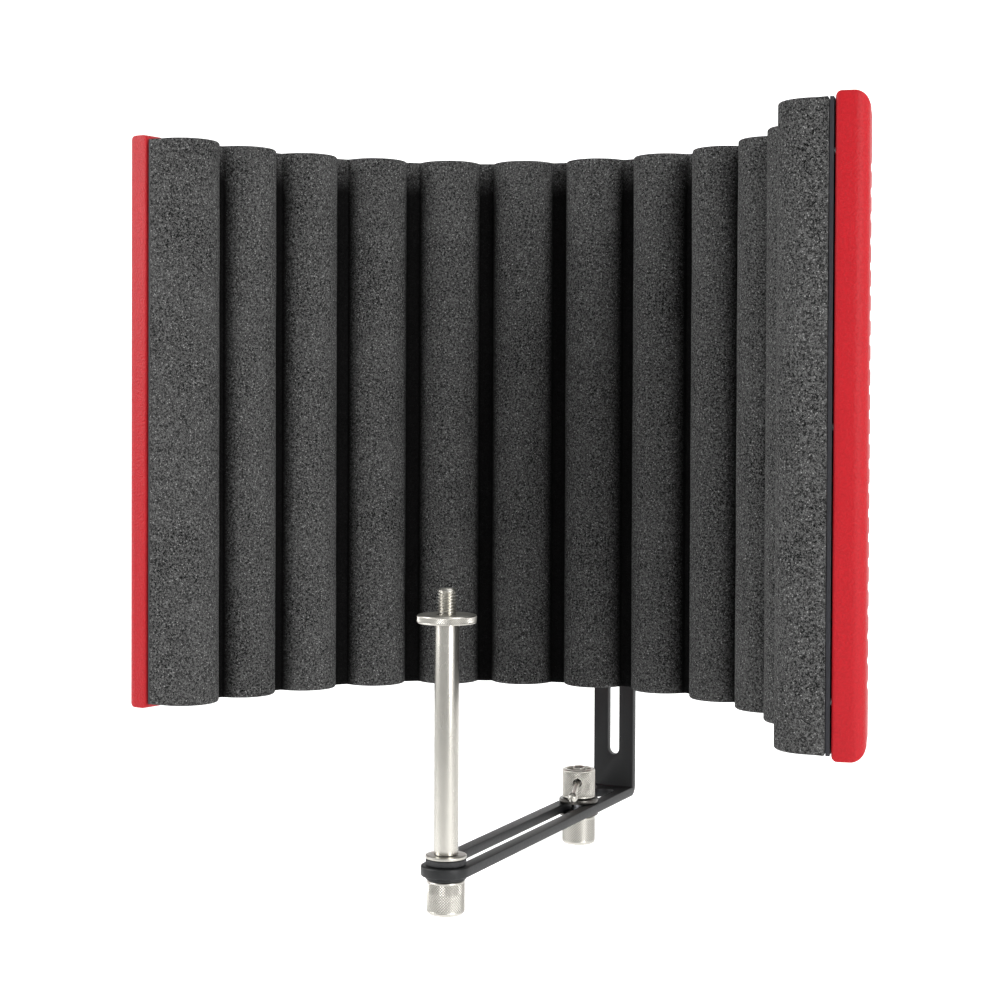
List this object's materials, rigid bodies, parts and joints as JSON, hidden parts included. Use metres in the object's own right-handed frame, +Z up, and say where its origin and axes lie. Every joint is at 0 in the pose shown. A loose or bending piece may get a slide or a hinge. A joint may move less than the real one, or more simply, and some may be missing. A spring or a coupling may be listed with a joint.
{
  "type": "microphone isolation shield",
  "caption": "Curved microphone isolation shield: lobed foam in a ribbed shell, on a slotted L bracket with a threaded microphone pole and a stand clamp.",
  "frame": {"origin": "centre of the stand socket's mouth, where a stand's thread enters from below", "axes": "+Z up along the stand, -Y towards the singer (open side of the arc), +X to the right as the singer's side is seen"},
  "size_m": [0.4062, 0.2638, 0.3966],
  "materials": {
    "foam": "open-cell charcoal acoustic foam",
    "red_shell": "satin red moulding with a fine grain",
    "felt": "grey needle felt",
    "liner_board": "black board",
    "black_rubber": "black rubber",
    "black_steel": "satin black powder coat on steel",
    "nickel": "satin nickel plate",
    "zinc_steel": "zinc-plated steel"
  },
  "bodies": {
    "stand_base": {"stand_socket": "nickel", "clamp_stud": "zinc_steel"},
    "clamp_plates": {"clamp_washer_lower": "black_steel", "clamp_washer_upper": "black_steel"},
    "bracket": {"l_bracket": "black_steel"},
    "clamp_nut_body": {"clamp_nut": "nickel"},
    "tommy_bar_body": {"tommy_bar": "nickel", "tommy_ball_front": "nickel", "tommy_ball_rear": "nickel"},
    "pole_shoe": {"pole_collar": "black_rubber", "pole_lower_washer": "black_steel"},
    "pole": {"pole_washer": "nickel", "pole_tube": "nickel", "pole_stud": "nickel", "pole_bolt": "zinc_steel"},
    "flange_nut_body": {"flange_nut": "nickel"},
    "pole_nut_body": {"pole_nut": "nickel"},
    "shield": {"foam_absorber": "foam", "liner_panel": "liner_board", "felt_layer": "felt", "rear_shell": "red_shell", "end_rail_left": "red_shell", "end_rail_right": "red_shell", "rail_screw_left_1": "zinc_steel", "rail_screw_left_2": "zinc_steel", "rail_screw_left_3": "zinc_steel", "rail_screw_right_1": "zinc_steel", "rail_screw_right_2": "zinc_steel", "rail_screw_right_3": "zinc_steel", "backing_plate": "zinc_steel", "bracket_pad": "black_rubber", "shield_bolt_lower": "zinc_steel", "shield_bolt_upper": "zinc_steel", "bolt_washer_lower": "zinc_steel", "bolt_washer_upper": "zinc_steel"},
    "thumb_nut_lower_body": {"thumb_nut_lower": "nickel"},
    "thumb_nut_upper_body": {"thumb_nut_upper": "nickel"}
  },
  "joints": [
    {"name": "bracket_swivel", "type": "hinge", "parent": "stand_base", "child": "clamp_plates", "pos_m": [0, 0, 0.0206], "axis": [0, 0, 1], "continuous": true},
    {"name": "bracket_slide", "type": "slide", "parent": "clamp_plates", "child": "bracket", "axis": [0, 1, 0], "range_m": [-0.033, 0.07]},
    {"name": "shield_height", "type": "slide", "parent": "bracket", "child": "shield", "axis": [0, 0, 1], "range_m": [-0.04, 0.028]},
    {"name": "pole_slide", "type": "slide", "parent": "bracket", "child": "pole_shoe", "axis": [0, 1, 0], "range_m": [0, 0.08]},
    {"name": "pole_swivel", "type": "hinge", "parent": "pole_shoe", "child": "pole", "pos_m": [0, -0.175, 0.0206], "axis": [0, 0, 1], "continuous": true},
    {"name": "flange_nut_turn", "type": "hinge", "parent": "pole", "child": "flange_nut_body", "pos_m": [0, -0.175, 0.1449], "axis": [0, 0, 1], "continuous": true},
    {"name": "pole_nut_turn", "type": "hinge", "parent": "pole", "child": "pole_nut_body", "pos_m": [0, -0.175, 0.0075], "axis": [0, 0, -1], "range_deg": [0, 450]},
    {"name": "clamp_nut_turn", "type": "hinge", "parent": "stand_base", "child": "clamp_nut_body", "pos_m": [0, 0, 0.0334], "axis": [0, 0, 1], "range_deg": [0, 450]},
    {"name": "tommy_bar_slide", "type": "slide", "parent": "clamp_nut_body", "child": "tommy_bar_body", "axis": [-0.2913, 0.9527, 0.0872], "range_m": [0, 0.025]},
    {"name": "thumb_nut_lower_turn", "type": "hinge", "parent": "shield", "child": "thumb_nut_lower_body", "pos_m": [0, 0.0671, 0.1181], "axis": [0, 1, 0], "range_deg": [0, 450]},
    {"name": "thumb_nut_upper_turn", "type": "hinge", "parent": "shield", "child": "thumb_nut_upper_body", "pos_m": [0, 0.0671, 0.1681], "axis": [0, 1, 0], "range_deg": [0, 450]}
  ]
}
